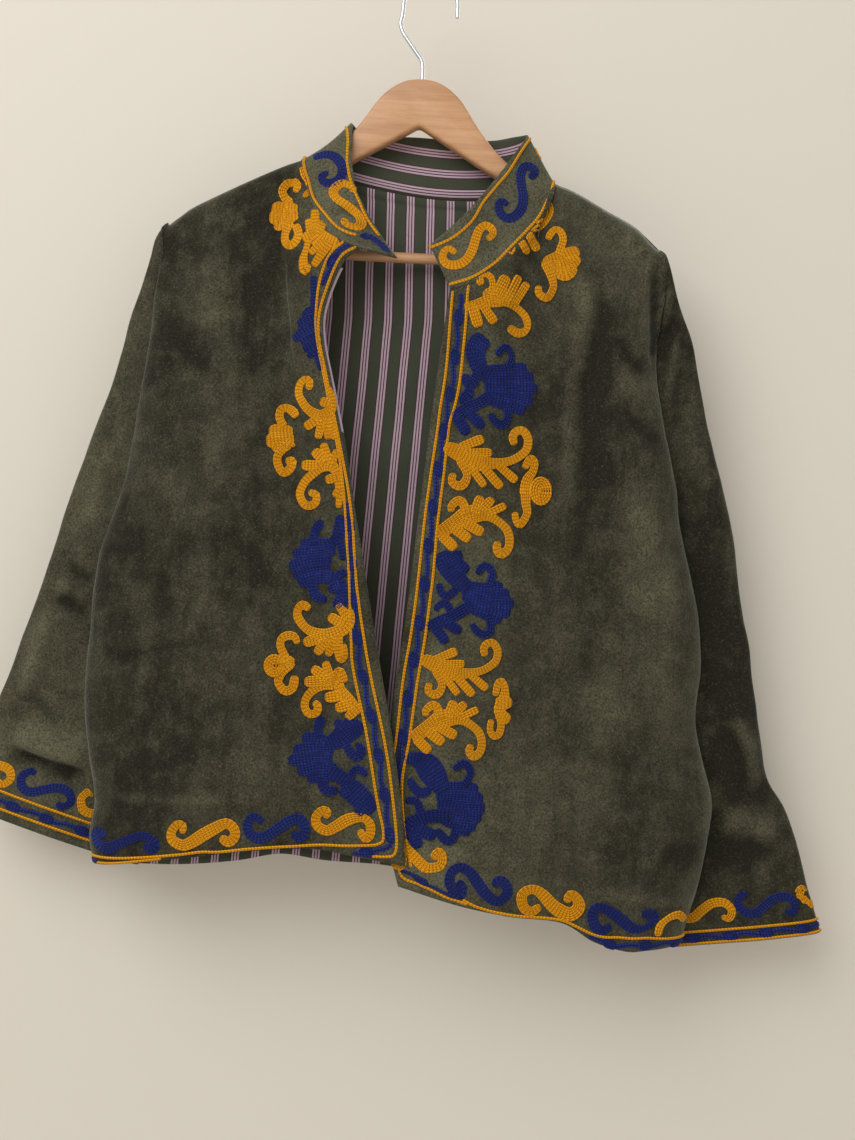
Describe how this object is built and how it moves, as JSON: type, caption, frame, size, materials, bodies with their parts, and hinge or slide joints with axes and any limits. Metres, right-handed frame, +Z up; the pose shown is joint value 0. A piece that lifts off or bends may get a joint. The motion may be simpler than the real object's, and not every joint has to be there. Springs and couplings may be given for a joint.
{
  "type": "suzani coat on a hanger",
  "caption": "Short open-front velvet coat with a stand collar, wide sleeves and chain-stitch flower embroidery, lined in striped cotton, hanging on a wooden hanger with a wire hook.",
  "frame": {"origin": "inside of the top of the wire hook, where a rail carries it", "axes": "+X to the viewer's right, +Y away from the viewer towards the wall behind the coat, +Z up"},
  "size_m": [0.7566, 0.0966, 0.8314],
  "materials": {
    "velvet": "grey-green cotton velvet, matt with a soft sheen along its folds",
    "lining": "plain-woven cotton, olive with narrow pale stripes",
    "beech": "pale wood under a satin varnish",
    "steel": "bright plated wire"
  },
  "bodies": {
    "root": {"back": "velvet", "right_front": "velvet", "left_front": "velvet", "right_sleeve": "velvet", "left_sleeve": "velvet", "collar": "velvet", "back_lining": "lining", "right_front_lining": "lining", "left_front_lining": "lining", "collar_lining": "lining", "hanger_body": "beech", "hanger_bar": "beech", "hanger_hook": "steel"}
  },
  "joints": []
}
